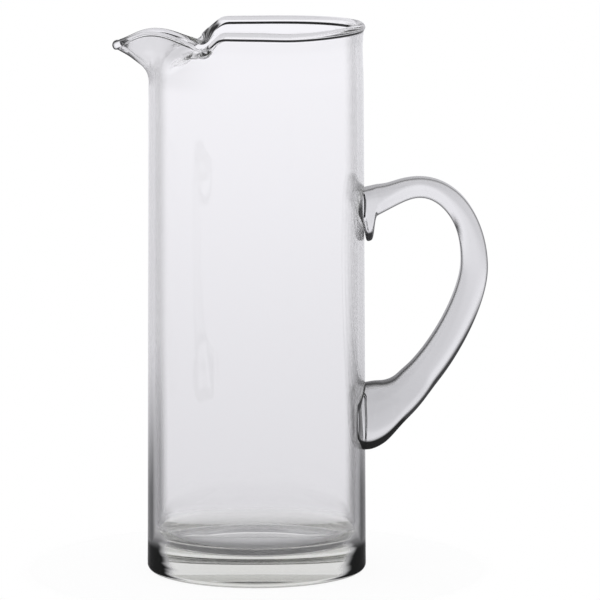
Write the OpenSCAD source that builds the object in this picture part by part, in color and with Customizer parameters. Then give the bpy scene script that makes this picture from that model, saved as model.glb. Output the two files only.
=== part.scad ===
// Handled glass water jug: a blown cylinder on a heavy base, with a pulled pouring lip and a welded handle.
// Millimetres. Z is the axis of the body, z = 0 is the table, the lip points to -X and the handle to +X.

/* [Body] */
// Height from the table to the top of the rim
body_h = 268; // [220:1:320]
// Outside diameter at the foot
foot_d = 107; // [96:0.5:120]
// Outside diameter below the rim
rim_d = 104; // [96:0.5:116]
// Thickness of the wall below the lip
wall = 3.1; // [2.4:0.1:4]
// Thickness of the wall above the floor
wall_foot = 3.3; // [2.6:0.1:5]

/* [Base] */
// Thickness of the glass under the floor
base_t = 14; // [8:0.5:20]
// Radius between the floor and the inside of the wall
floor_round = 11; // [3:0.5:16]
// Radius of the outer edge at the foot
foot_round = 3; // [1:0.5:5]
// Width of the flat ring that the jug stands on
stand_w = 9; // [5:0.5:16]
// Depth of the hollow under the base
dish_depth = 2.5; // [0.5:0.1:4]

/* [Rim] */
// Thickness of the melted bead along the rim
rim_bead = 5.2; // [4.2:0.1:6]
// How far the bead stands out from the wall
bead_proud = 0.8; // [0.2:0.1:1.4]
// How far the wall draws in below the bead
neck_in = 0.5; // [0:0.1:1]
// Height over which the neck flares out to the bead
flare_h = 8; // [5:0.5:12]
// Height over which the wall thickens into the bead
bead_h = 1.6; // [1.2:0.1:5]

/* [Pouring lip] */
// Height of the part of the wall that was reheated and drawn out
lip_zone = 31; // [27:1:40]
// Thickness of the drawn wall in the lip
lip_wall = 2.6; // [2.2:0.1:3.4]
// How far the tip stands out past the front of the wall
tip_reach = 16.6; // [12:0.2:22]
// How far the tip hangs below the rim
tip_drop = 8.8; // [6:0.2:12]
// Thickness of the bead at the tip
tip_bead = 5.2; // [4.6:0.1:6]
// Thickness of the bead along the wings of the beak
wing_bead = 2.8; // [2.4:0.1:4]
// How far the narrow part of the beak stands out past the front of the wall
beak_reach = 3.6; // [1:0.2:6]
// Width across the narrow part of the beak
beak_w = 15.6; // [13:0.2:18]
// How far the wings of the beak stand behind the front of the wall
wing_back = 5.8; // [4:0.2:8]
// Width across the wings of the beak
wing_w = 25; // [22:0.5:29]
// How far the beak and its wings dip below the rim
wing_drop = 2.9; // [1:0.1:5]
// How far the throat stands behind the front of the wall
throat_back = 18.2; // [15:0.2:21]
// Width across the throat
throat_w = 37.4; // [33:0.2:42]
// How far the throat dips below the rim
throat_drop = 7.2; // [5:0.1:9]
// How far the notches beside the throat stand behind the front of the wall
notch_back = 23.4; // [21:0.2:26]
// Width across the notches
notch_w = 62.4; // [58:0.2:67]
// How far the notches dip below the rim
notch_drop = 9; // [7:0.1:11]
// How far the shoulders outside the notches dip below the rim
shoulder_drop = 6; // [4:0.1:8]
// Height of the bend where the wall turns into the lip, above the foot of the drawn zone
bend_h = 7.5; // [7:0.5:12]
// Height to which the bend climbs beside the lip, at the notches
notch_bend_h = 18.5; // [14:0.5:19]
// Length of wall that each side of the bend takes up under the tip
bend_round = 6; // [3:0.5:7]
// Length of wall that each side of the bend takes up at the notches
notch_bend_round = 3; // [2:0.5:4]

/* [Handle] */
// Height of the middle of the upper weld
upper_weld_z = 177.2; // [165:0.2:185]
// Height of the middle of the lower weld
lower_weld_z = 76.3; // [60:0.5:90]
// Height of the middle of the strap at the top of its arch
arch_z = 188; // [178:0.5:205]
// Distance from the wall to the top of the arch
arch_out = 27; // [22:0.5:32]
// Height of the strap where it stands out furthest
belly_z = 149.5; // [140:0.5:160]
// Distance from the wall to the middle of the strap where it stands out furthest
belly_out = 53; // [46:0.2:60]
// Thickness of the strap at the top of its arch
arch_t = 10.5; // [8:0.1:14]
// Thickness of the strap where it stands out furthest
belly_t = 14.2; // [10:0.1:17]
// Thickness of the strap above the lower weld
heel_t = 20.4; // [16:0.1:24]
// Width of the strap
strap_w = 19; // [15:0.5:24]
// Radius along the edges of the strap
strap_round = 4.5; // [2:0.1:6]
// Height of the upper weld
upper_pad_h = 21.8; // [19:0.2:26]
// Width of the upper weld
upper_pad_w = 27; // [24:0.5:32]
// Radius along the edges of the tail under the upper weld
tail_round = 6.5; // [3:0.5:7]
// Radius at the corners of the upper weld
upper_pad_round = 8; // [4:0.5:9]
// How far the tail hangs below the middle of the upper weld
tail_drop = 15.2; // [13:0.2:18]
// Height of the lower weld
lower_pad_h = 32.6; // [27:0.2:36]
// Width of the lower weld
lower_pad_w = 38; // [30:0.5:40]
// Radius along the edges of the strap just above the lower weld
sole_round = 6.5; // [3:0.5:8]
// Radius at the corners of the lower weld
lower_pad_round = 13; // [6:0.5:14]

/* [Hidden] */
$fn = 120;

foot_r = foot_d / 2;
rim_r = rim_d / 2;
// Where the wall starts to be drawn out, and the middle of the bead
lip_z = body_h - lip_zone;
bead_z = body_h - rim_bead / 2;
rise = bead_z - lip_z;
// Middle of the wall from there up
mid_r = rim_r - wall / 2;

function smooth(t) = let (c = min(max(t, 0), 1)) c * c * (3 - 2 * c);
function arc(centre, r, from, to, steps) =
    [for (i = [0:steps]) let (a = from + (to - from) * i / steps) centre + r * [cos(a), sin(a)]];
function bezier(p, t) = let (u = 1 - t)
    u * u * u * p[0] + 3 * u * u * t * p[1] + 3 * u * t * t * p[2] + t * t * t * p[3];

// Outside of the body: a slight cone up to the drawn zone, and straight above it
function outer_r(z) = foot_r + (rim_r - foot_r) * min(max(z / lip_z, 0), 1);

// Section of the wall from the drawn zone up: [height above lip_z, distance out from the middle of the wall]
function in_bead(s) = smooth((s - rise + bead_h) / bead_h);
function in_neck(s) = smooth(s / (rise - flare_h)) - smooth((s - rise + flare_h) / flare_h);
function outer_n(s) = wall / 2 - neck_in * in_neck(s) + bead_proud * in_bead(s);
function wall_t(s) = wall + (rim_bead - wall) * in_bead(s);
neck_steps = 10;
bead_steps = 4;
section_s = concat(
    [for (i = [0:neck_steps]) (rise - bead_h) * i / neck_steps],
    [for (i = [1:bead_steps]) rise - bead_h + bead_h * i / bead_steps]);
section_last = len(section_s) - 1;
rim_section = concat(
    [for (s = section_s) [s, outer_n(s)]],
    [for (a = [30:30:150]) [rise, outer_n(rise) - rim_bead / 2] + rim_bead / 2 * [sin(a), cos(a)]],
    [for (i = [section_last:-1:0]) let (s = section_s[i]) [s, outer_n(s) - wall_t(s)]]);

// Half-section of the whole body, turned about the axis
foot_arc = arc([foot_r - foot_round, foot_round], foot_round, -90, 0, 6);
floor_r = outer_r(base_t + floor_round) - wall_foot - floor_round;
floor_arc = arc([floor_r, base_t + floor_round], floor_round, 0, -90, 8);
dish_r = foot_r - foot_round - stand_w;
dish_ball = (dish_r * dish_r + dish_depth * dish_depth) / (2 * dish_depth);
dish_a = asin(dish_r / dish_ball);
body_half = concat(
    arc([0, dish_depth - dish_ball], dish_ball, 90, 90 - dish_a, 8),
    foot_arc,
    [for (p = rim_section) [mid_r + p[1], lip_z + p[0]]],
    floor_arc,
    [[0, base_t]]);

module turned_body() {
    rotate_extrude() polygon(body_half);
}

// Places round the front of the rim, as angles from the lip's own plane
beak_a = 14;
wing_a = 23;
throat_a = 35;
notch_a = 51;
shoulder_a = 63;
corner_a = 70;
lip_a = 77;
shoulder_in = 1;
corner_drop = 0.25 * shoulder_drop;

// Sector of the rim that the drawn lip takes the place of
module lip_sector() {
    far = 2 * rim_d;
    translate([0, 0, lip_z])
        linear_extrude(lip_zone + far)
            polygon([
                [0, 0],
                far * [-cos(lip_a), -sin(lip_a)],
                [-2 * far, 0],
                far * [-cos(lip_a), sin(lip_a)]]);
}

// How the rim was moved at each station: [angle, place of the bead's middle, change of height]
function on_rim(a) = mid_r * [-cos(a), sin(a)];
lip_stations = [
    [0, [-mid_r - tip_reach, 0], -tip_drop],
    [beak_a, [-mid_r - beak_reach, beak_w / 2], -wing_drop],
    [wing_a, [-mid_r + wing_back, wing_w / 2], -wing_drop],
    [throat_a, [-mid_r + throat_back, throat_w / 2], -throat_drop],
    [notch_a, [-mid_r + notch_back, notch_w / 2], -notch_drop],
    [shoulder_a, on_rim(shoulder_a) - [0, shoulder_in], -shoulder_drop],
    [corner_a, on_rim(corner_a), -corner_drop],
    [lip_a, on_rim(lip_a), 0]];

// The same as displacements from the round rim, joined by smooth curves
function moved(k) = let (q = lip_stations[k], shift = q[1] - on_rim(q[0])) [shift.x, shift.y, q[2]];
last = len(lip_stations) - 1;
knot_a = [for (q = lip_stations) q[0]];
knot_d = [for (k = [0:last]) moved(k)];
function knot_slope(k) = k == last ? [0, 0, 0]
    : k == 0 ? [0, (knot_d[1].y - knot_d[0].y) / (knot_a[1] - knot_a[0]), 0]
    : (knot_d[k + 1] - knot_d[k - 1]) / (knot_a[k + 1] - knot_a[k - 1]);
function knot_span(a, k = 0) = k >= last - 1 || a <= knot_a[k + 1] ? k : knot_span(a, k + 1);
function displaced(a) = let (
    k = knot_span(a),
    w = knot_a[k + 1] - knot_a[k],
    t = min((a - knot_a[k]) / w, 1))
    (1 + 2 * t) * (1 - t) * (1 - t) * knot_d[k] + t * (1 - t) * (1 - t) * w * knot_slope(k)
    + t * t * (3 - 2 * t) * knot_d[k + 1] - t * t * (1 - t) * w * knot_slope(k + 1);

// Middle of the drawn wall: upright out of the body, round the bend, and straight on to the moved rim
function lip_edge(a) = let (d = displaced(abs(a)))
    [-mid_r * cos(a) + d.x, mid_r * sin(a) + sign(a) * d.y, bead_z + d.z];
bend_climb = 2.2;
function lip_mid(a, s) = let (
    beside = pow(min(abs(a) / notch_a, 1), bend_climb),
    h = bend_h + (notch_bend_h - bend_h) * beside,
    r = bend_round + (notch_bend_round - bend_round) * beside,
    root = [-mid_r * cos(a), mid_r * sin(a), lip_z],
    bend = root + [0, 0, h],
    slope = (lip_edge(a) - bend) / (rise - h),
    t = (s - h + r) / (2 * r))
    t <= 0 ? root + [0, 0, s]
    : t >= 1 ? bend + (s - h) * slope
    : bend - [0, 0, (1 - t) * (1 - t) * r] + t * t * r * slope;
probe = 0.01;
function lip_out(a, s) = let (
    low = min(max(s, probe), rise - probe),
    up = lip_mid(a, low + probe) - lip_mid(a, low - probe),
    along = lip_mid(a + probe, low) - lip_mid(a - probe, low),
    n = cross(up, along))
    n / norm(n);

// The drawn wall is thinner between body and bead, and the bead is thinner between notches and tip
wing_end_a = 58;
wing_fade_a = 14;
bulb_a = 10;
function drawn(a, s) = let (
    drawn_a = smooth((lip_a - abs(a)) / (lip_a / 2)),
    between = smooth(2 * s / rise) * smooth(3 * (rise - s) / rise),
    wing = (wing_bead / rim_bead - 1) * smooth((wing_end_a - abs(a)) / wing_fade_a),
    tip = (tip_bead - wing_bead) / rim_bead * smooth(1 - abs(a) / bulb_a))
    1 - (1 - lip_wall / wall) * drawn_a * between + (wing + tip) * smooth(3 * s / rise - 2);

// The drawn sector reaches a little into the turned wall on three sides, under its skin: deepest at its foot
tongue = 1;
tongue_a = 1;
side_seam = 0.01;
foot_seam = 0.15;
seam_fade = 4;
function seam(s) = side_seam + (foot_seam - side_seam) * (1 - smooth(s / seam_fade));
lip_steps = 46;
lip_section = concat([[-tongue, wall / 2]], rim_section, [[-tongue, -wall / 2]]);
function lip_ring(a) = [for (p = lip_section) let (
    s = min(p[0], rise),
    out = lip_out(a, s),
    middle = outer_n(s) - wall_t(s) / 2,
    thick = drawn(a, s) * (1 - 2 * seam(s) / wall_t(s)),
    n = middle + (p[1] - middle) * thick,
    beyond = max(p[0] - rise, 0) * thick,
    up = lip_mid(a, rise) - lip_mid(a, rise - probe))
    lip_mid(a, s) + n * out + beyond * up / norm(up)];

// Closed skin through a row of rings, each closed at the ends by a strip from its first half to its second
function strip(sides, start, flip) = [for (j = [0:ceil(sides / 2) - 2], half = [0, 1]) let (
    a = start + j,
    b = start + sides - 1 - j,
    f = half == 0 ? [a, b, a + 1] : [a + 1, b, b - 1])
    if (half == 0 || a + 1 < b - 1) flip ? [f[2], f[1], f[0]] : f];
module skin(rings) {
    count = len(rings);
    sides = len(rings[0]);
    sheet = [for (i = [0:count - 2], j = [0:sides - 1], half = [0, 1]) let (
        a = i * sides + j,
        b = i * sides + (j + 1) % sides)
        half == 0 ? [a, b, b + sides] : [a, b + sides, a + sides]];
    ends = concat(strip(sides, 0, false), strip(sides, (count - 1) * sides, true));
    polyhedron([for (r = rings) each r], concat(sheet, ends), convexity = 8);
}

module vessel() {
    color("gainsboro", 0.5) {
        difference() {
            turned_body();
            lip_sector();
        }
        skin([for (i = [0:lip_steps]) lip_ring((lip_a + tongue_a) * (1 - 2 * i / lip_steps))]);
    }
}

// Middle line of the strap in the XZ plane: out of the wall at the upper weld and up to the arch, round to
// the belly, and down into the wall at the lower weld. Each pull is the length of the line's tangent there.
weld_in = 4;
upper_pull = 7.5;
arch_pull = 13.4;
round_pull = 0.55;
belly_pull = 20.5;
lower_pull_out = 30;
lower_pull_up = 3.7;
upper_end = [outer_r(upper_weld_z) - weld_in, upper_weld_z];
arch_top = [outer_r(arch_z) + arch_out, arch_z];
belly = [outer_r(belly_z) + belly_out, belly_z];
lower_end = [outer_r(lower_weld_z) - weld_in, lower_weld_z];
strap_line = [
    [upper_end, upper_end + [upper_pull, 0], arch_top - [arch_pull, 0], arch_top],
    [arch_top, arch_top + [round_pull * (belly.x - arch_top.x), 0],
        belly + [0, round_pull * (arch_top.y - belly.y)], belly],
    [belly, belly - [0, belly_pull], lower_end + [lower_pull_out, lower_pull_up], lower_end]];
function strap_at(u) = let (k = min(floor(u), 2)) bezier(strap_line[k], u - k);

// Places along the line: 0 and 3 are its ends, 1 is the top of the arch and 2 the belly
wall_u = 0.15;
cleft_u = 0.19;
tail_u = 0.27;
hook_u = 0.35;
nape_u = 0.42;
neck_u = 0.7;
shin_u = 2.6;
heel_u = 2.75;
toe_u = 2.85;
sole_u = 2.91;
ankle_u = 2.955;

// The rings of the strap stand upright at the welds and turn square to the line between them
function line_turn(u) = let (d = strap_at(min(u + probe, 3)) - strap_at(max(u - probe, 0)))
    atan2(-d.y, d.x);
function ring_turn(u) = line_turn(u) * smooth((u - tail_u) / (neck_u - tail_u))
    + (180 - line_turn(u)) * smooth((u - shin_u) / (toe_u - shin_u));

// The upper pad's crown climbs along the line
crown_climb = 6.2;
crown_u = 0.225;

// Under the upper pad hangs a tail, with a cleft between it and the wall
root_up = 4;
cleft_up = 2;
tail_below = tail_drop - upper_pad_h / 2;
hook_up = 2;
nape_up = 7.8;

// Where the strap swells into its welds, and spreads out over the wall
neck_swell = 0.5;
tail_flare = 0.6;
heel_flare = 0.5;
toe_flare = 0.9;
sole_flare = 1.5;
shin_out = 0.6;
shin_in = 1.4;
toe_tuck = 4;
toe_swell = 1.3;
sole_tuck = 1.1;
sole_swell = 0.9;
lower_pad_sag = 0.6;
function spread(pad_w, share) = strap_w / 2 + share * (pad_w - strap_w) / 2;
wall_spread = 0.15;
ankle_spread = 0.15;

// Half-sizes of a ring: [place, thickness outside the line and inside it, width, radius outside and inside]
function upper_pad(u, below, half_w, outer_round, inner_round) = let (
    lift = strap_at(u).y - upper_weld_z,
    crown = crown_climb * (u - crown_u))
    [u, upper_pad_h / 2 - lift + crown, upper_pad_h / 2 + lift + below, half_w, outer_round, inner_round];
function lower_pad(u, over, under, half_w, edge_round) = let (
    lift = strap_at(u).y - lower_weld_z + lower_pad_sag)
    [u, lower_pad_h / 2 + lift + over, lower_pad_h / 2 - lift + under, half_w, edge_round, edge_round];
function plain(u, half_t, half_w) = [u, half_t, half_t, half_w, strap_round, strap_round];
strap_stations = [
    upper_pad(0, -root_up, upper_pad_w / 2, upper_pad_round, upper_pad_round),
    upper_pad(wall_u, -root_up, spread(upper_pad_w, wall_spread), strap_round, tail_round),
    upper_pad(cleft_u, tail_below - cleft_up, strap_w / 2 + tail_flare, strap_round, tail_round),
    upper_pad(tail_u, tail_below, strap_w / 2 + tail_flare, strap_round, tail_round),
    upper_pad(hook_u, tail_below - hook_up, strap_w / 2 + tail_flare, strap_round, tail_round),
    upper_pad(nape_u, -nape_up, strap_w / 2, strap_round, strap_round),
    plain(neck_u, arch_t / 2 + neck_swell, strap_w / 2),
    plain(1, arch_t / 2, strap_w / 2),
    plain(2, belly_t / 2, strap_w / 2),
    [shin_u, belly_t / 2 + shin_out, belly_t / 2 + shin_in, strap_w / 2, strap_round, strap_round],
    plain(heel_u, heel_t / 2, strap_w / 2 + heel_flare),
    lower_pad(toe_u, -toe_tuck, toe_swell, strap_w / 2 + toe_flare, sole_round),
    lower_pad(sole_u, -sole_tuck, sole_swell, strap_w / 2 + sole_flare, sole_round),
    lower_pad(ankle_u, 0, 0, spread(lower_pad_w, ankle_spread), sole_round),
    lower_pad(3, 0, 0, lower_pad_w / 2, lower_pad_round)];
strap_last = len(strap_stations) - 1;
function strap_span(u, k = 0) =
    k >= strap_last - 1 || u <= strap_stations[k + 1][0] ? k : strap_span(u, k + 1);
function strap_size(u) = let (
    p = strap_stations[strap_span(u)],
    q = strap_stations[strap_span(u) + 1])
    p + smooth((u - p[0]) / (q[0] - p[0])) * (q - p);

// A ring is an oblong with rounded corners, which never meet
corner_steps = 5;
corner_most = 0.95;
function ring_corner(size, k) = let (
    outside = k < 2,
    half_t = outside ? size[1] : size[2],
    r = min(outside ? size[4] : size[5], corner_most * half_t, corner_most * size[3]),
    middle = [(k == 0 || k == 3 ? 1 : -1) * (size[3] - r), (outside ? 1 : -1) * (half_t - r)])
    arc(middle, r, 90 * k, 90 * (k + 1), corner_steps);
function strap_ring(u) = let (p = strap_at(u), turn = ring_turn(u), size = strap_size(u))
    [for (k = [3:-1:0], i = [corner_steps:-1:0]) let (
        q = ring_corner(size, k)[i],
        side = p + q.y * [sin(turn), cos(turn)])
        [side.x, q.x, side.y]];

// Rings lie closer together at the two welds
weld_step = 0.04;
strap_step = 0.1;
strap_start = 0.65;
strap_places = concat(
    [for (i = [0:15]) weld_step * i],
    [for (i = [0:18]) strap_start + strap_step * i],
    [for (i = [12:-1:0]) 3 - weld_step * i]);

module handle() {
    color("gainsboro", 0.5)
        difference() {
            skin([for (u = strap_places) strap_ring(u)]);
            rotate_extrude() polygon(concat([[0, 0]], foot_arc, [[rim_r, lip_z], [0, lip_z]]));
        }
}

vessel();
handle();
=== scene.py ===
import math

import bmesh
import bpy
import numpy as np
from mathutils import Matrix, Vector


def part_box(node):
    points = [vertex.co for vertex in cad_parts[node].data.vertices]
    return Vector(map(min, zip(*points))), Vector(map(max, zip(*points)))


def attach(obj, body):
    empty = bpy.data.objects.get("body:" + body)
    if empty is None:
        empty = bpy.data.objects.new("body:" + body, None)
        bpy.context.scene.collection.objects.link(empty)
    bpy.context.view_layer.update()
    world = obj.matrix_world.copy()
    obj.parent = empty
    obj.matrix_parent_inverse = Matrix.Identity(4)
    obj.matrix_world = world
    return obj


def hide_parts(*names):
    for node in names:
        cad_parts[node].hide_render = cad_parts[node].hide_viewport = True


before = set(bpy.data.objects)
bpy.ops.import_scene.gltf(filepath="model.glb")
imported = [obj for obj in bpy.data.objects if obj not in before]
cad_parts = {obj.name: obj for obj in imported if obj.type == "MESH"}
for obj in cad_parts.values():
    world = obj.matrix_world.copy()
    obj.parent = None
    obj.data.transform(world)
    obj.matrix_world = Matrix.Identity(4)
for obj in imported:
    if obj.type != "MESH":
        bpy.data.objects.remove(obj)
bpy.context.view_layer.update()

# Lengths are in millimetres up to the meshes, which are in metres. Angles are in degrees
MM = 0.001
UP = np.array([0, 0, 1.0])
vessel_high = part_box("vessel")[1] / MM

# Body and base
body_h = vessel_high.z
foot_r = vessel_high.y
rim_r = 52
wall = 3.1
base_t = 14
floor_round = 11
wall_foot = 3.3
foot_round = 3
stand_w = 9
dish_depth = 2.5
dish_edge_round = 1.2
dish_break = (0.3, 0.03)

# Rim: level at the front, and a little higher at the handle, where the finisher's tool let go
handle_rise = 1.0
rim_level = body_h - handle_rise
rim_bead = 5.2
bead_proud = 0.8
neck_in = 0.5
flare_h = 8
bead_h = 1.6

# Pouring lip, at angles from its own plane: the wall bends above the foot of the drawn zone
lip_zone = 30
lip_wall = 2.6
tip_bead = 5.2
wing_bead = 2.8
front_bend, front_bend_round = 7.5, 6
notch_bend, notch_bend_round = 18.5, 3
bend_climb = 2.2
beak_a, notch_a, corner_a, lip_a = 14, 51, 63, 77
notch_blend = 14
tip_share = 0.7
lip_z = rim_level - lip_zone
bead_z = rim_level - rim_bead / 2
rise = bead_z - lip_z
mid_r = rim_r - wall / 2


def on_rim(a):
    return (-mid_r * math.cos(math.radians(a)), mid_r * math.sin(math.radians(a)))


# Angle, place of the bead's middle from the front of the wall and from the lip's plane, drop below the rim
LIP_STATIONS = [
    (0, -16.57, 0, 7.8),
    (beak_a, -3.6, 7.8, 1.9),
    (23, 5.8, 12.5, 1.9),
    (35, 18.2, 18.7, 6.2),
    (notch_a, 23.4, 31.2, 8.0),
    (corner_a, mid_r + on_rim(corner_a)[0], on_rim(corner_a)[1] - 1, 5.3),
    (70, mid_r + on_rim(70)[0], on_rim(70)[1], 0.7),
    (lip_a, mid_r + on_rim(lip_a)[0], on_rim(lip_a)[1], 0),
]

# How far the rim stands above its level all round, lower at the one corner of the lip: (angle, rise)
RIM_WAVE = [
    (-180, handle_rise),
    (-150, 0.45),
    (-112, -0.6),
    (-92, -0.1),
    (-lip_a, 0),
    (-70, -0.2),
    (-corner_a, -1.7),
    (-54, -0.6),
    (-45, 0),
    (lip_a, 0),
    (92, 0),
    (133, 0.7),
    (165, handle_rise - 0.05),
    (180, handle_rise),
]


def smooth(t):
    t = np.clip(t, 0, 1)
    return t * t * (3 - 2 * t)


def curve(knots, values, slope, x):
    """A smooth curve through values at knots, with a slope at each, read at x."""
    k = np.clip(np.searchsorted(knots, x, side="right") - 1, 0, len(knots) - 2)
    w = knots[k + 1] - knots[k]
    t = np.clip((x - knots[k]) / w, 0, 1)
    if values.ndim > 1:
        w, t = w[..., None], t[..., None]
    return (
        (1 + 2 * t) * (1 - t) ** 2 * values[k]
        + t * (1 - t) ** 2 * w * slope[k]
        + t * t * (3 - 2 * t) * values[k + 1]
        - t * t * (1 - t) * w * slope[k + 1]
    )


def through(knots, values, x, first_slope=0):
    """A curve that swings freely from value to value, as a bent rod does."""
    knots, values = np.array(knots, float), np.array(values, float)
    slope = np.zeros_like(values)
    run = (knots[2:] - knots[:-2]).reshape((-1,) + (1,) * (values.ndim - 1))
    slope[1:-1] = (values[2:] - values[:-2]) / run
    slope[0] = first_slope
    return curve(knots, values, slope, np.asarray(x, float))


def between(knots, values, x):
    """A curve that never swings past its values."""
    step = np.diff(values, axis=0) / np.diff(knots)[:, None]
    before, after = step[:-1], step[1:]
    steady = before * after > 0
    slope = np.zeros_like(values)
    slope[1:-1] = np.where(steady, 2 * before * after / np.where(steady, before + after, 1), 0)
    return curve(knots, values, slope, x)


def mesh_object(name, points, faces):
    """A smooth-shaded mesh object from points in millimetres."""
    mesh = bpy.data.meshes.new(name)
    mesh.from_pydata((np.asarray(points) * MM).tolist(), [], faces)
    mesh.validate()
    mesh.polygons.foreach_set("use_smooth", [True] * len(mesh.polygons))
    mesh.update()
    made = bpy.data.objects.new(name, mesh)
    bpy.context.scene.collection.objects.link(made)
    return made


def ring_faces(rings, sides):
    """Quads between rows of points, each row a closed ring."""
    return [
        (i * sides + j, i * sides + k, (i + 1) * sides + k, (i + 1) * sides + j)
        for i in range(rings - 1)
        for j, k in zip(range(sides), [*range(1, sides), 0])
    ]


def wall_r(z):
    """Radius of the body's outside, which narrows evenly from the foot to the drawn zone."""
    return foot_r + (rim_r - foot_r) * np.clip(np.asarray(z, float) / lip_z, 0, 1)


def in_bead(s):
    """How far into the rim's bead a height along the drawn wall lies, from 0 to 1."""
    return smooth((s - rise + bead_h) / bead_h)


def outer_n(s):
    """Distance of the outside from the middle of the wall."""
    drawn_in = smooth(s / (rise - flare_h)) - smooth((s - rise + flare_h) / flare_h)
    return wall / 2 - neck_in * drawn_in + bead_proud * in_bead(s)


def wall_t(s):
    return wall + (rim_bead - wall) * in_bead(s)


def drawn(a, s):
    """Share of its thickness that the wall keeps where it was drawn out into the lip."""
    a = np.abs(a)
    thinned = (1 - lip_wall / wall) * smooth((lip_a - a) / (lip_a / 2))
    thinned = thinned * smooth(2 * s / rise) * smooth(3 * (rise - s) / rise)
    wing = (wing_bead / rim_bead - 1) * smooth((notch_a + notch_blend / 2 - a) / notch_blend)
    tip = (tip_bead - wing_bead) / rim_bead * smooth(1 - a / (tip_share * beak_a))
    return 1 - thinned + (wing + tip) * smooth(3 * s / rise - 2)


def lip_edge(a):
    """Middle of the rim's bead at each angle."""
    knots = [q[0] for q in LIP_STATIONS]
    moved = [(q[1] - mid_r - on_rim(q[0])[0], q[2] - on_rim(q[0])[1], -q[3]) for q in LIP_STATIONS]
    front = np.array([0, (moved[1][1] - moved[0][1]) / (knots[1] - knots[0]), 0])
    shift = through(knots, moved, np.minimum(np.abs(a), lip_a), first_slope=front)
    wave = through([q[0] for q in RIM_WAVE], [q[1] for q in RIM_WAVE], a)
    turn = np.radians(a)
    return np.stack(
        [
            -mid_r * np.cos(turn) + shift[..., 0],
            mid_r * np.sin(turn) + np.sign(a) * shift[..., 1],
            bead_z + shift[..., 2] + wave,
        ],
        axis=-1,
    )


def lip_mid(a, s):
    """Middle of the wall: upright out of the body, round a bend, and straight on to the moved rim."""
    turn = np.radians(a)
    beside = np.minimum(np.abs(a) / notch_a, 1) ** bend_climb
    bend_h = front_bend + (notch_bend - front_bend) * beside
    bend_round = front_bend_round + (notch_bend_round - front_bend_round) * beside
    root = np.stack([-mid_r * np.cos(turn), mid_r * np.sin(turn), np.full_like(turn, lip_z)], axis=-1)
    t = np.clip((s - bend_h + bend_round) / (2 * bend_round), 0, 1)[..., None]
    s, bend_h, bend_round = s[..., None], bend_h[..., None], bend_round[..., None]
    bend = root + bend_h * UP
    slope = (lip_edge(a) - bend) / (rise - bend_h)
    upright = root + s * UP
    bent = bend - (1 - t) ** 2 * bend_round * UP + t * t * bend_round * slope
    straight = bend + (s - bend_h) * slope
    return np.where(t <= 0, upright, np.where(t >= 1, straight, bent))


# Step in millimetres and degrees over which directions on the lip are taken
lip_step = 0.02


def lip_out(a, s):
    """Direction out of the wall."""
    s = np.clip(s, lip_step, rise - lip_step)
    up = lip_mid(a, s + lip_step) - lip_mid(a, s - lip_step)
    along = lip_mid(a + lip_step, s) - lip_mid(a - lip_step, s)
    n = np.cross(up, along)
    return n / np.linalg.norm(n, axis=-1, keepdims=True)


def lip_end(a):
    """Direction in which the wall ends at the rim."""
    top, below = np.full_like(a, rise), np.full_like(a, rise - lip_step)
    way = lip_mid(a, top) - lip_mid(a, below)
    return way / np.linalg.norm(way, axis=-1, keepdims=True)


def arc(centre, r, start, end, steps):
    t = np.radians(np.linspace(start, end, steps + 1))
    return [(centre[0] + r * c, centre[1] + r * s) for c, s in zip(np.cos(t), np.sin(t))]


# Seeds: the few small bubbles left in the wall, drawn out upright in blowing.
# Angle, height, radius, half-length
SEEDS = [
    (-107.8, 246.5, 0.3, 0.35),
    (-54.5, 239.5, 0.16, 1.9),
    (-131, 120, 0.22, 0.5),
    (22, 168, 0.25, 0.6),
    (84, 205, 0.2, 0.45),
    (151, 62, 0.28, 0.6),
]


def seed(a, z, r, half_length, first):
    """A small bubble in the middle of the wall, whose skin faces its own middle."""
    rings, sides = 8, 12
    middle = np.array([*on_rim(a), z])
    points = [middle + half_length * UP, middle - half_length * UP]
    for i in range(1, rings):
        t = math.pi * i / rings
        for j in range(sides):
            turn = 2 * math.pi * j / sides
            out = [r * math.sin(t) * math.cos(turn), r * math.sin(t) * math.sin(turn)]
            points.append(middle + [*out, half_length * math.cos(t)])
    faces = [tuple(first + 2 + k for k in f) for f in ring_faces(rings - 1, sides)]
    last = first + 2 + (rings - 2) * sides
    for j in range(sides):
        k = (j + 1) % sides
        faces += [(first, first + 2 + k, first + 2 + j), (first + 1, last + j, last + k)]
    return points, faces


# Fineness of the vessel's mesh: points round it, and steps along its walls, roundings, floor and rim
around = 400
wall_steps, floor_steps = 42, 9
hollow_steps, foot_steps, floor_arc_steps = 14, 14, 18
lip_steps, bead_steps, crown_steps = 30, 16, 19


def outside_profile():
    """Underside and outside up to the drawn zone, from the middle out: (radius, height)."""
    dish_r = foot_r - foot_round - stand_w
    ball = (dish_r**2 + dish_depth**2) / (2 * dish_depth)
    hollow_a = math.degrees(math.asin(dish_r / ball))
    hollow = arc((0, dish_depth - ball), ball, 90, 90 - hollow_a, hollow_steps)[1:-1]
    edge = [(dish_r + dish_break[0], dish_break[1]), (dish_r + dish_edge_round, 0.0)]
    foot = arc((foot_r - foot_round, foot_round), foot_round, -90, 0, foot_steps)
    low_wall = [(wall_r(z), z) for z in np.linspace(foot_round, lip_z, wall_steps)[1:-1]]
    return hollow + edge + foot + low_wall


def inside_profile():
    """Inside below the drawn zone, from the top down: (radius, height)."""
    floor_top = base_t + floor_round
    floor_r = wall_r(floor_top) - wall_foot - floor_round
    inner_wall = [
        (wall_r(z) - wall - (wall_foot - wall) * (lip_z - z) / (lip_z - floor_top), z)
        for z in np.linspace(lip_z, floor_top, wall_steps)[1:-1]
    ]
    floor_arc = arc((floor_r, floor_top), floor_round, 0, -90, floor_arc_steps)
    floor = [(r, base_t) for r in np.linspace(floor_r, 0, floor_steps)[1:-1]]
    return inner_wall + floor_arc + floor


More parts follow.
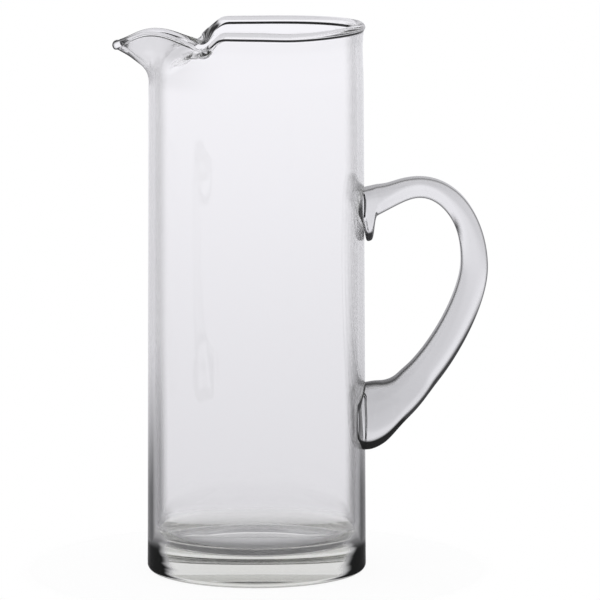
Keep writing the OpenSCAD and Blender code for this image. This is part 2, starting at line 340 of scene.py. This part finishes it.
def lip_section():
    """Section of the drawn zone: height along the wall, distance from its middle, height past the bead."""
    plain_part = np.linspace(0, rise - bead_h, lip_steps)[:-1]
    up = np.concatenate([plain_part, np.linspace(rise - bead_h, rise, bead_steps)])
    section = [(s, outer_n(s), 0) for s in up]
    crown = outer_n(rise) - rim_bead / 2
    for t in np.radians(np.linspace(0, 180, crown_steps)[1:-1]):
        section.append((rise, crown + rim_bead / 2 * math.cos(t), rim_bead / 2 * math.sin(t)))
    return section + [(s, outer_n(s) - wall_t(s), 0) for s in up[::-1]]


def build_vessel():
    """The blown body in one skin: underside, outside, rim and lip, inside, floor."""
    angles = np.linspace(-180, 180, around, endpoint=False)
    turn = np.radians(angles)
    spin = np.stack([-np.cos(turn), np.sin(turn), np.zeros(around)], axis=-1)
    end = lip_end(angles)
    rows = [r * spin + z * UP for r, z in outside_profile()]
    for s, n, beyond in lip_section():
        s = np.full(around, s)
        middle = outer_n(s) - wall_t(s) / 2
        thick = drawn(angles, s)
        out_by = (middle + (n - middle) * thick)[:, None]
        rows.append(lip_mid(angles, s) + out_by * lip_out(angles, s) + (beyond * thick)[:, None] * end)
    rows += [r * spin + z * UP for r, z in inside_profile()]

    points = np.concatenate(rows + [[(0, 0, dish_depth), (0, 0, base_t)]])
    faces = ring_faces(len(rows), around)
    under, top, last = len(points) - 2, len(points) - 1, (len(rows) - 1) * around
    faces += [(under, (j + 1) % around, j) for j in range(around)]
    faces += [(top, last + j, last + (j + 1) % around) for j in range(around)]
    for a, z, r, half_length in SEEDS:
        bubble, skin = seed(a, z, r, half_length, len(points))
        points = np.concatenate([points, bubble])
        faces += skin
    return mesh_object("blown_vessel", points, [f[::-1] for f in faces])


# Handle: a solid strap drawn from one gather of glass, with a pad welded on at each end
upper_weld_z, lower_weld_z = 177.2, 76.3
arch_z, arch_out = 188, 27
belly_z, belly_out = 149.5, 53
strap_w, strap_round = 19, 4.5
upper_pad_h, upper_pad_round = 21.8, 8
lower_pad_h, lower_pad_round = 32.6, 13
lower_pad_sag = 0.6
tail_drop, tail_round = 15.2, 6.5
sole_round, crest_round = 6.5, 15
shin_round, heel_round = 7, 9
crown_climb, crown_u, crown_down = 6.2, 0.225, 0.7
weld_in = 4
weld_overlap = 0.3

# Places along the strap's line: 0 and 3 are its ends, 1 is the top of the arch and 2 the belly
wall_u, cleft_u, tail_u, hook_u, nape_u, neck_u = 0.15, 0.19, 0.26, 0.318, 0.355, 0.7
shin_u, heel_u, toe_u, sole_u, ankle_u = 2.6, 2.75, 2.85, 2.91, 2.976

# Length of the line's tangent at each of its joints
upper_pull, arch_pull, round_pull, belly_pull = 7.5, 13.4, 0.55, 20.5
lower_pull = [30, 3.7]

upper_end = np.array([wall_r(upper_weld_z) - weld_in, upper_weld_z])
arch_top = np.array([wall_r(arch_z) + arch_out, arch_z])
belly = np.array([wall_r(belly_z) + belly_out, belly_z])
lower_end = np.array([wall_r(lower_weld_z) - weld_in, lower_weld_z])
arch_past = arch_top + [round_pull * (belly - arch_top)[0], 0]
belly_over = belly + [0, round_pull * (arch_top - belly)[1]]
STRAP_LINE = np.array(
    [
        [upper_end, upper_end + [upper_pull, 0], arch_top - [arch_pull, 0], arch_top],
        [arch_top, arch_past, belly_over, belly],
        [belly, belly - [0, belly_pull], lower_end + lower_pull, lower_end],
    ]
)


def strap_at(u):
    """The strap's middle line, out from the axis and up."""
    u = np.asarray(u, float)
    k = np.clip(np.floor(u), 0, 2).astype(int)
    t = (u - k)[..., None]
    p = STRAP_LINE[k]
    return (
        (1 - t) ** 3 * p[..., 0, :]
        + 3 * (1 - t) ** 2 * t * p[..., 1, :]
        + 3 * (1 - t) * t * t * p[..., 2, :]
        + t**3 * p[..., 3, :]
    )


def strap_turn(u):
    """Angle of each ring: upright at the welds, square to the line between them."""
    step = 0.01
    d = strap_at(np.minimum(u + step, 3)) - strap_at(np.maximum(u - step, 0))
    line = np.degrees(np.arctan2(-d[..., 1], d[..., 0]))
    upper = smooth((u - tail_u) / (neck_u - tail_u))
    lower = smooth((u - shin_u) / (toe_u - shin_u))
    return line * upper + (180 - line) * lower


def upper_pad(u, below, half_w, top_round, under_round):
    lift = strap_at(u)[1] - upper_weld_z
    crown = crown_climb * (u - crown_u) - crown_down
    half_h = upper_pad_h / 2
    return (u, half_h - lift + crown, half_h + lift + below, half_w, top_round, under_round)


def lower_pad(u, below, above, half_w, under_round, top_round):
    lift = strap_at(u)[1] - lower_weld_z + lower_pad_sag
    half_h = lower_pad_h / 2
    return (u, half_h + lift + below, half_h - lift + above, half_w, under_round, top_round)


def plain(u, outside, inside, half_w, inner_round=strap_round):
    return (u, outside, inside, half_w, strap_round, inner_round)


# Half-sizes of the strap: place, thickness outside and inside the line, width, radius outside and inside.
# The line turns over on its way, so outside is above at the upper pad and below at the lower one
tail_below = tail_drop - upper_pad_h / 2
STRAP_STATIONS = np.array(
    [
        upper_pad(0, -4, 19, upper_pad_round, upper_pad_round),
        upper_pad(wall_u, -4, 12.4, strap_round, tail_round),
        upper_pad(cleft_u, tail_below - 0.6, 12.2, strap_round, tail_round),
        upper_pad(tail_u, tail_below, 11.9, strap_round, tail_round),
        upper_pad(hook_u, tail_below - 0.7, 11.6, strap_round, tail_round),
        upper_pad(nape_u, -7.8, 11.2, strap_round, strap_round),
        plain(neck_u, 4.9, 5.6, 9.9),
        plain(1, 4.65, 5, strap_w / 2),
        plain(1.5, 6.1, 5, strap_w / 2),
        plain(2, 6.95, 6.3, strap_w / 2),
        plain(shin_u, 7.8, 7.8, 11, shin_round),
        plain(heel_u, 11.5, 9.3, 13.4, heel_round),
        lower_pad(toe_u, -4, 0.5, 15.2, sole_round, crest_round),
        lower_pad(sole_u, -1.4, 0.4, 16, sole_round, crest_round),
        lower_pad(ankle_u, -0.9, -0.4, 16.4, sole_round, crest_round),
        lower_pad(3, -1.2, -0.4, 22, lower_pad_round, crest_round),
    ]
)

# Points round the strap: four rounded corners and the four runs between them.
# First corner, second corner, share of the way from one to the other, angle on the rounding
corner_steps, run_steps = 17, 7
corner_most = 0.95
RING = []
for k in range(4):
    RING += [(k, k, 0, 90 * (k + i / corner_steps)) for i in range(corner_steps + 1)]
    RING += [(k, (k + 1) % 4, i / run_steps, 90 * (k + 1)) for i in range(1, run_steps)]
RING = np.array(RING[::-1])
ring_sides = len(RING)


def ring_corner(size, k, a):
    """A point on one of the four rounded corners: how far out of the line, and how far across."""
    outside = k < 2
    half_t = np.where(outside, size[..., 1], size[..., 2])
    r = np.where(outside, size[..., 4], size[..., 5])
    r = np.minimum(np.minimum(r, corner_most * half_t), corner_most * size[..., 3])
    across = np.where((k == 0) | (k == 3), 1, -1) * (size[..., 3] - r) + r * np.cos(a)
    return np.where(outside, 1, -1) * (half_t - r) + r * np.sin(a), across


def strap_point(u):
    """The strap's skin at a place along its line for each point of the ring."""
    size = between(STRAP_STATIONS[:, 0], STRAP_STATIONS, u)
    a = np.radians(RING[:, 3])
    first, second = ring_corner(size, RING[:, 0], a), ring_corner(size, RING[:, 1], a)
    n = first[0] + RING[:, 2] * (second[0] - first[0])
    across = first[1] + RING[:, 2] * (second[1] - first[1])
    turn = np.radians(strap_turn(u))
    middle = strap_at(u)
    return np.stack([middle[:, 0] + n * np.sin(turn), across, middle[:, 1] + n * np.cos(turn)], axis=-1)


def weld_place(near, far):
    """Where each line along the strap reaches the face that lies just inside the vessel's skin."""
    near, far = np.full(ring_sides, near), np.full(ring_sides, far)
    for _ in range(50):
        half = (near + far) / 2
        p = strap_point(half)
        inside = np.hypot(p[:, 0], p[:, 1]) < wall_r(p[:, 2]) - weld_overlap
        near, far = np.where(inside, half, near), np.where(inside, far, half)
    return (near + far) / 2


# Rows of the strap's mesh: at the upper pad, between the free places and at the lower pad.
# A weld is searched for between an end of the line and the search place
upper_free_u, lower_free_u = 0.65, 2.5
upper_search_u, lower_search_u = 0.5, 2.6
upper_rows, free_rows, lower_rows = 90, 150, 80
cap_rings = 10

# Passes of smoothing, along the strap and round it, for the way in which the soft glass ran
smooth_along, smooth_round = 14, 6


def strap_rows():
    start, end = weld_place(0.0, upper_search_u), weld_place(3.0, lower_search_u)
    upper, lower = upper_free_u - start, end - lower_free_u
    free = np.linspace(upper_free_u, lower_free_u, free_rows)[:-1]
    rows = [strap_point(start + upper * t) for t in np.linspace(0, 1, upper_rows)[:-1]]
    rows += [strap_point(np.full(ring_sides, u)) for u in free]
    rows += [strap_point(lower_free_u + lower * t) for t in np.linspace(0, 1, lower_rows)]
    rows = np.array(rows)
    for _ in range(smooth_along):
        rows[1:-1] = (rows[:-2] + 2 * rows[1:-1] + rows[2:]) / 4
    for _ in range(smooth_round):
        rows[1:-1] = (np.roll(rows[1:-1], 1, axis=1) + 2 * rows[1:-1] + np.roll(rows[1:-1], -1, axis=1)) / 4
    return rows


def build_handle():
    rows = strap_rows()
    faces = ring_faces(len(rows), ring_sides)
    points = [p for row in rows for p in row]

    def cap(row, first, flip):
        """Closes an end with the face that lies against the wall."""
        middle = row.mean(axis=0)
        index = [first + j for j in range(ring_sides)]
        for i in range(1, cap_rings):
            ring = middle + (row - middle) * (1 - i / cap_rings)
            ring[:, 0] = np.sqrt((wall_r(ring[:, 2]) - weld_overlap) ** 2 - ring[:, 1] ** 2)
            new = [len(points) + j for j in range(ring_sides)]
            points.extend(ring)
            for j in range(ring_sides):
                k = (j + 1) % ring_sides
                quad = (index[j], index[k], new[k], new[j])
                faces.append(quad[::-1] if flip else quad)
            index = new
        points.append(np.array([wall_r(middle[2]) - weld_overlap, 0, middle[2]]))
        for j in range(ring_sides):
            tri = (index[j], index[(j + 1) % ring_sides], len(points) - 1)
            faces.append(tri[::-1] if flip else tri)

    cap(rows[0], 0, True)
    cap(rows[-1], (len(rows) - 1) * ring_sides, False)
    return mesh_object("strap_handle", points, [f[::-1] for f in faces])


def weld(vessel, handle):
    """Runs the two skins into one where the hot glass met; each piece keeps its own part of that skin."""
    join = vessel.modifiers.new("weld", "BOOLEAN")
    join.operation = "UNION"
    join.solver = "EXACT"
    join.material_mode = "TRANSFER"
    join.object = handle
    fused = bpy.data.meshes.new_from_object(vessel.evaluated_get(bpy.context.evaluated_depsgraph_get()))
    vessel.modifiers.clear()
    for index, piece in enumerate((vessel, handle)):
        part = bmesh.new()
        part.from_mesh(fused)
        others = [face for face in part.faces if face.material_index != index]
        bmesh.ops.delete(part, geom=others, context="FACES")
        for face in part.faces:
            face.material_index = 0
        part.to_mesh(piece.data)
        part.free()
    bpy.data.meshes.remove(fused)


# Materials


def srgb(code):
    """A hex colour as linear light."""
    parts = [int(code[i : i + 2], 16) / 255 for i in (0, 2, 4)]
    return [c / 12.92 if c <= 0.04045 else ((c + 0.055) / 1.055) ** 2.4 for c in parts] + [1.0]


def add(tree, kind, settings=None, inputs=()):
    """Adds a node. Inputs go by name or in the node's own order; each is a value, an output or a node."""
    node = tree.nodes.new("ShaderNode" + kind)
    for name, value in (settings or {}).items():
        setattr(node, name, value)
    for name, value in inputs.items() if isinstance(inputs, dict) else enumerate(inputs):
        if isinstance(value, bpy.types.Node):
            value = value.outputs[0]
        if isinstance(value, bpy.types.NodeSocket):
            tree.links.new(value, node.inputs[name])
        else:
            node.inputs[name].default_value = value
    return node


def empty_tree(owner):
    """The node tree of a material or world, with nothing in it."""
    owner.use_nodes = True
    owner.node_tree.nodes.clear()
    return owner.node_tree


# Settings of the nodes used most, and the ends of a range that falls
SMOOTH = {"interpolation_type": "SMOOTHSTEP"}
TIMES = {"operation": "MULTIPLY"}
TIMES_PLUS = {"operation": "MULTIPLY_ADD"}
OVER = {"operation": "DIVIDE"}
PLUS = {"operation": "ADD"}
MINUS = {"operation": "SUBTRACT"}
MOST = {"operation": "MAXIMUM"}
SIZE = {"operation": "ABSOLUTE"}
LENGTH = {"operation": "LENGTH"}
FALLING = (1.0, 0.0)

# Lean of the skin over which it stops being upright, and over which it starts to face sideways
upright_lean = (0.3, 0.9)
sideways_lean = (0.05, 0.4)

# Streaks in the painted shade at the ends of the base: their length and height, their sway, and the slant
# of the ends
streak_length_mm, streak_height_mm = 60, 3.2
streak_sway = 0.22
foot_slant = 0.06

# The painted shade along the fold beside the lip: angles over which it widens, starts and ends, and its
# half-widths and soft edge
fold_widens, fold_starts, fold_ends = np.radians([(30, 52), (31, 37), (66, 70)]).tolist()
fold_reach = (0.1 * MM, 3.4 * MM)
fold_soft = (0.6, 1.2)

# Strands in the fold's painted shade: their width, how often they change round the lip, and how clear they
# are
strand_mm, strand_turn = 0.7, 4.0
strand_span, strand_least = (0.35, 0.6), 0.6

# How far in front of the axis the painted shade on the beak and at the end of its channel lies, and how far
# off the wall the painted shade at a weld ends
beak_reach = (44 * MM, 64 * MM)
channel_reach = (60 * MM, 63.5 * MM)
weld_reach = (0.35 * MM, 1.0 * MM)

# Scuffs on the ring that the jug stands on: their grain, the height they reach and their roughness
scuff_mm = 1.5
scuff_height = (0.1 * MM, 0.7 * MM)
scuff_rough = 0.6

# The glass: how it bends light, how strongly it mirrors, and the colour of its painted shade, where it lets
# no light through
glass_ior = 1.52
mirror = 0.15
painted_shade_colour = "0C0D0C"


class Skin:
    """Places and directions on a glass skin, and the measures that say where shade is painted on it."""

    def __init__(self, tree):
        self.tree = tree
        self.place = add(tree, "TexCoord").outputs["Object"]
        x, y, self.height = add(tree, "SeparateXYZ", None, [self.place]).outputs
        geometry = add(tree, "NewGeometry")
        self.normal, self.from_within = geometry.outputs["Normal"], geometry.outputs["Backfacing"]
        self.aside, self.lean = add(tree, "SeparateXYZ", None, [self.normal]).outputs[1:]
        self.ahead = add(tree, "Math", TIMES, [x, -1.0])
        self.turn = add(tree, "Math", {"operation": "ARCTAN2"}, [y, self.ahead])
        self.beside = add(tree, "Math", SIZE, [self.turn])
        self.flat = add(tree, "VectorMath", TIMES, [self.place, (1, 1, 0)])

    def inside(self):
        """1 where the skin faces the axis."""
        inward = add(self.tree, "VectorMath", {"operation": "DOT_PRODUCT"}, [self.flat, self.normal])
        return add(self.tree, "Math", {"operation": "LESS_THAN"}, [inward.outputs["Value"], 0.0])

    def edge(self):
        """How nearly the skin is seen along itself."""
        return add(self.tree, "LayerWeight", None, {"Blend": 0.5}).outputs["Facing"]

    def upright_edge(self):
        """The edge where the skin stands upright, as it does in the wall."""
        tilt = add(self.tree, "Math", SIZE, [self.lean])
        upright = add(self.tree, "MapRange", SMOOTH, [tilt, *upright_lean, *FALLING])
        return add(self.tree, "Math", TIMES, [self.edge(), upright])

    def ragged_edge(self):
        """The upright edge with level streaks, for the painted shade at the ends of the thick base, which
        bends light.
        """
        long, high = 1 / (streak_length_mm * MM), 1 / (streak_height_mm * MM)
        stretched = add(self.tree, "VectorMath", TIMES, [self.place, (long, long, high)])
        streak = add(self.tree, "TexNoise", None, {"Vector": stretched, "Scale": 1.0, "Detail": 2.0})
        slant = add(self.tree, "MapRange", None, [self.height, 0.0, base_t * MM, foot_slant, -foot_slant])
        ragged = add(self.tree, "Math", TIMES_PLUS, [streak, streak_sway, slant])
        return add(self.tree, "Math", PLUS, [self.upright_edge(), ragged])

    def underside(self):
        """How far the skin faces down."""
        return add(self.tree, "Math", TIMES, [self.lean, -1.0])

    def lower_edge(self):
        """The underside where it also faces sideways."""
        across = add(self.tree, "Math", SIZE, [self.aside])
        sideways = add(self.tree, "MapRange", None, [across, *sideways_lean])
        return add(self.tree, "Math", TIMES, [self.underside(), sideways])

    def fold(self):
        """The bend beside the lip, on the inside, where shade is painted in strands that widen towards the
        notch.
        """
        tree = self.tree
        share = add(tree, "Math", OVER, [self.beside, math.radians(notch_a)])
        climb = add(tree, "Math", {"operation": "POWER"}, [share, bend_climb])
        fold_z = add(tree, "Math", TIMES_PLUS, [
            climb, (notch_bend - front_bend) * MM, (lip_z + front_bend) * MM])
        apart = add(tree, "Math", SIZE, [add(tree, "Math", MINUS, [self.height, fold_z])])
        reach = add(tree, "MapRange", None, [self.beside, *fold_widens, *fold_reach])
        off = add(tree, "Math", OVER, [apart, reach])
        line = add(tree, "MapRange", SMOOTH, [off, *fold_soft, *FALLING])
        along = add(tree, "CombineXYZ", None, [
            add(tree, "Math", OVER, [apart, strand_mm * MM]),
            add(tree, "Math", TIMES, [self.turn, strand_turn])])
        strand = add(tree, "TexNoise", None, {"Vector": along, "Scale": 1.0, "Detail": 1.0})
        for part in (
            add(tree, "MapRange", SMOOTH, [self.beside, *fold_ends, *FALLING]),
            add(tree, "MapRange", SMOOTH, [self.beside, *fold_starts]),
            add(tree, "MapRange", SMOOTH, [strand, *strand_span, strand_least, 1.0]),
            self.inside(),
        ):
            line = add(tree, "Math", TIMES, [line, part])
        return line

    def beak_edge(self):
        """The edge, on the beak alone."""
        in_front = add(self.tree, "MapRange", SMOOTH, [self.ahead, *beak_reach])
        return add(self.tree, "Math", TIMES, [self.edge(), in_front])

    def channel_end(self):
        """Where the two beads run together inside the beak's tip, for the painted shade there."""
        in_front = add(self.tree, "MapRange", SMOOTH, [self.ahead, *channel_reach])
        return add(self.tree, "Math", TIMES, [in_front, self.inside()])

    def weld_line(self):
        """Close to the body's outside, where the handle was laid on: the place of the weld's painted shade.
        """
        out_by = add(self.tree, "VectorMath", LENGTH, [self.flat]).outputs["Value"]
        body_r = add(self.tree, "Math", TIMES_PLUS, [self.height, (rim_r - foot_r) / lip_z, foot_r * MM])
        off_wall = add(self.tree, "Math", MINUS, [out_by, body_r])
        return add(self.tree, "MapRange", SMOOTH, [off_wall, *weld_reach, *FALLING])

    def painted_shade(self, painted_shades):
        """The strongest painted shade at each place, on faces that are seen from outside the glass."""
        strongest_painted_shade = 0.0
        for measure, span, heights, amounts in painted_shades:
            part = add(self.tree, "MapRange", SMOOTH, [measure(self), *span])
            amount = add(self.tree, "MapRange", SMOOTH, [self.height, *(z * MM for z in heights), *amounts])
            shade = add(self.tree, "Math", TIMES, [part, amount])
            strongest_painted_shade = add(self.tree, "Math", MOST, [strongest_painted_shade, shade])
        outside = add(self.tree, "Math", MINUS, [1.0, self.from_within])
        return add(self.tree, "Math", TIMES, [strongest_painted_shade, outside])


def soda_lime_glass(name, painted_shades, wave_mm, wave_depth_mm, depth_colour, density):
    """Clear soda-lime glass, fire-polished: smooth, a little wavy, colourless where it is thin and grey
    through its depth. Painted shade darkens its colour and takes away its transmission and gloss where
    light would have to pass along the skin, and in its folds."""
    material = bpy.data.materials.new(name)
    tree = empty_tree(material)
    skin = Skin(tree)
    wave = add(tree, "TexNoise", None, {"Vector": skin.place, "Scale": 1 / (wave_mm * MM), "Detail": 1.0})
    bump = add(tree, "Bump", None, {"Height": wave, "Strength": 1.0, "Distance": wave_depth_mm * MM})
    painted_shade = skin.painted_shade(painted_shades)
    # Painted shade: the base colour goes towards near-black, and transmission and gloss fall, where the
    # masks are strong
    unshaded = add(tree, "Math", MINUS, [1.0, painted_shade])
    painted_shade_tint = add(tree, "Mix", {"data_type": "RGBA"}, {0: painted_shade, 6: (1, 1, 1, 1), 7: srgb(painted_shade_colour)})
    scuff = add(tree, "TexNoise", None, {"Vector": skin.place, "Scale": 1 / (scuff_mm * MM), "Detail": 4.0})
    worn = add(tree, "MapRange", SMOOTH, [skin.height, *scuff_height, scuff_rough, 0.0])
    glass = add(tree, "BsdfPrincipled", None, {
        "Base Color": painted_shade_tint.outputs[2],
        "Roughness": add(tree, "Math", TIMES, [scuff, worn]),
        "IOR": glass_ior,
        "Transmission Weight": unshaded,
        "Specular IOR Level": add(tree, "Math", TIMES, [unshaded, mirror]),
        "Normal": bump,
    })
    depth = add(tree, "VolumeAbsorption", None, {"Color": srgb(depth_colour), "Density": density})
    add(tree, "OutputMaterial", None, {"Surface": glass, "Volume": depth})
    return material


# Where shade is painted on each piece: measure, its span, heights in millimetres, amounts at these heights
VESSEL_PAINTED_SHADES = [
    (Skin.upright_edge, (0.49, 0.73), (35, 120), (0.92, 0.36)),
    (Skin.ragged_edge, (0.44, 0.64), (13, 31), (0.99, 0)),
    (Skin.underside, (0.2, 0.5), (body_h - 10, body_h - 8), (0, 0.97)),
    (Skin.fold, (0, 1), (lip_z, lip_z + 2), (0, 0.97)),
    (Skin.beak_edge, (0.2, 0.6), (lip_z + 8, lip_z + 12), (0, 0.96)),
    (Skin.channel_end, (0, 1), (body_h - 22, body_h - 20), (0, 0.95)),
]
HANDLE_PAINTED_SHADES = [
    (Skin.edge, (0.26, 0.66), (60, 200), (0.95, 0.82)),
    (Skin.lower_edge, (0.05, 0.3), (75, 90), (0.98, 0)),
    (Skin.lower_edge, (0.08, 0.35), (168, 178), (0.95, 0)),
    (Skin.weld_line, (0, 1), (178, 186), (0.93, 0.6)),
]

# Blown: broad, shallow waves and hardly any colour. Drawn: shorter, deeper waves and a greyer depth
blown_glass = soda_lime_glass(
    "soda_lime_glass_blown", VESSEL_PAINTED_SHADES,
    wave_mm=30, wave_depth_mm=0.01, depth_colour="C9CBBD", density=7.0)
drawn_glass = soda_lime_glass(
    "soda_lime_glass_drawn", HANDLE_PAINTED_SHADES,
    wave_mm=12, wave_depth_mm=0.02, depth_colour="CBCCCC", density=23.0)

vessel = build_vessel()
handle = build_handle()
vessel.data.materials.append(blown_glass)
handle.data.materials.append(drawn_glass)
weld(vessel, handle)
for piece, node, slot in ((vessel, "vessel", "vessel_glass"), (handle, "handle", "handle_glass")):
    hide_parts(node)
    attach(piece, "root")

# Stage: a pale floor that fades into the white surroundings, in metres
floor_radius = 0.2
floor_drop = 0.0002
floor_fade = (0.27, 0.6)
floor_clear = 0.94


def build_floor():
    rings, sides = 24, 96
    points = [(0, 0, 0)]
    for i in range(1, rings + 1):
        r = floor_radius / MM * i / rings
        for j in range(sides):
            t = 2 * math.pi * j / sides
            points.append((r * math.cos(t), r * math.sin(t), 0))
    faces = [(0, 1 + j, 1 + (j + 1) % sides) for j in range(sides)]
    faces += [tuple(k + 1 for k in f)[::-1] for f in ring_faces(rings, sides)]
    made = mesh_object("floor", points, faces)
    made.location.z = -floor_drop
    return made


def matte_board():
    """Matte white board: takes a soft shadow, shows no gloss, and fades into the white around it."""
    material = bpy.data.materials.new("matte_white_board")
    tree = empty_tree(material)
    place = add(tree, "TexCoord").outputs["Object"]
    far = add(tree, "VectorMath", LENGTH, [place]).outputs["Value"]
    fade = add(tree, "MapRange", SMOOTH, [far, *(share * floor_radius for share in floor_fade)])
    seen = add(tree, "Math", TIMES, [add(tree, "LightPath").outputs["Is Camera Ray"], floor_clear])
    faded = add(tree, "Math", MOST, [fade, seen])
    board = add(tree, "BsdfDiffuse", None, {"Color": srgb("F2F2F2")})
    mixed = add(tree, "MixShader", None, [faded, board, add(tree, "BsdfTransparent")])
    add(tree, "OutputMaterial", None, {"Surface": mixed})
    return material


floor = build_floor()
floor.data.materials.append(matte_board())

# Light of the studio by the height of the way it comes from, from -1 below to 1 above
ceiling_span, ceiling_light = (0.42, 0.85), (1.0, 0.1)
low_span, low_light = (-0.22, -0.06), (0.74, 0.985)

# Soft light over the jug: metres and watts
lamp_size, lamp_height, lamp_power = 2.0, 1.6, 20.0


def build_world():
    """A white studio, the same all round the jug, with a dark ceiling."""
    world = bpy.data.worlds.new("studio")
    bpy.context.scene.world = world
    tree = empty_tree(world)
    way = add(tree, "TexCoord").outputs["Generated"]
    up = add(tree, "SeparateXYZ", None, [way]).outputs[2]
    ceiling = add(tree, "MapRange", SMOOTH, [up, *ceiling_span, *ceiling_light])
    low = add(tree, "MapRange", SMOOTH, [up, *low_span, *low_light])
    light = add(tree, "Math", TIMES, [ceiling, low])
    studio = add(tree, "Background", None, {"Color": srgb("FBFAFF"), "Strength": light})
    white = add(tree, "Background", None, {"Color": (1, 1, 1, 1), "Strength": 1.0})
    seen = add(tree, "LightPath").outputs["Is Camera Ray"]
    mixed = add(tree, "MixShader", None, [seen, studio, white])
    add(tree, "OutputWorld", None, {"Surface": mixed})


def build_lamp():
    """A broad soft light over the jug, for the floor alone: the glass doesn't mirror it."""
    light = bpy.data.lights.new("soft_light", "AREA")
    light.shape = "DISK"
    light.size = lamp_size
    light.energy = lamp_power
    lamp = bpy.data.objects.new("soft_light", light)
    lamp.location.z = lamp_height
    for way in ("visible_camera", "visible_glossy", "visible_transmission"):
        setattr(lamp, way, False)
    bpy.context.scene.collection.objects.link(lamp)


build_lamp()
build_world()

# Camera, from the photograph's own perspective: 600 pixels across, at the fitted distance and angle
image_side = 600
focal_px = 4829
sensor_mm = 36
camera_place = Vector((0, -2.326, 0.4631))
camera_pitch = math.radians(8.09)
camera_yaw = math.radians(0.522)
lens = bpy.data.cameras.new("camera")
lens.sensor_width = sensor_mm
lens.lens = sensor_mm * focal_px / image_side
camera = bpy.data.objects.new("camera", lens)
bpy.context.scene.collection.objects.link(camera)
look = Vector((
    math.sin(camera_yaw) * math.cos(camera_pitch),
    math.cos(camera_yaw) * math.cos(camera_pitch),
    -math.sin(camera_pitch)))
camera.location = camera_place
camera.rotation_euler = look.to_track_quat("-Z", "Y").to_euler()
bpy.context.scene.camera = camera

# Glass needs many bounces, and the white surroundings stay white
scene = bpy.context.scene
scene.cycles.max_bounces = 32
scene.cycles.transmission_bounces = 32
scene.cycles.glossy_bounces = 16
scene.cycles.transparent_max_bounces = 16
scene.cycles.use_denoising = True
scene.view_settings.view_transform = "Standard"
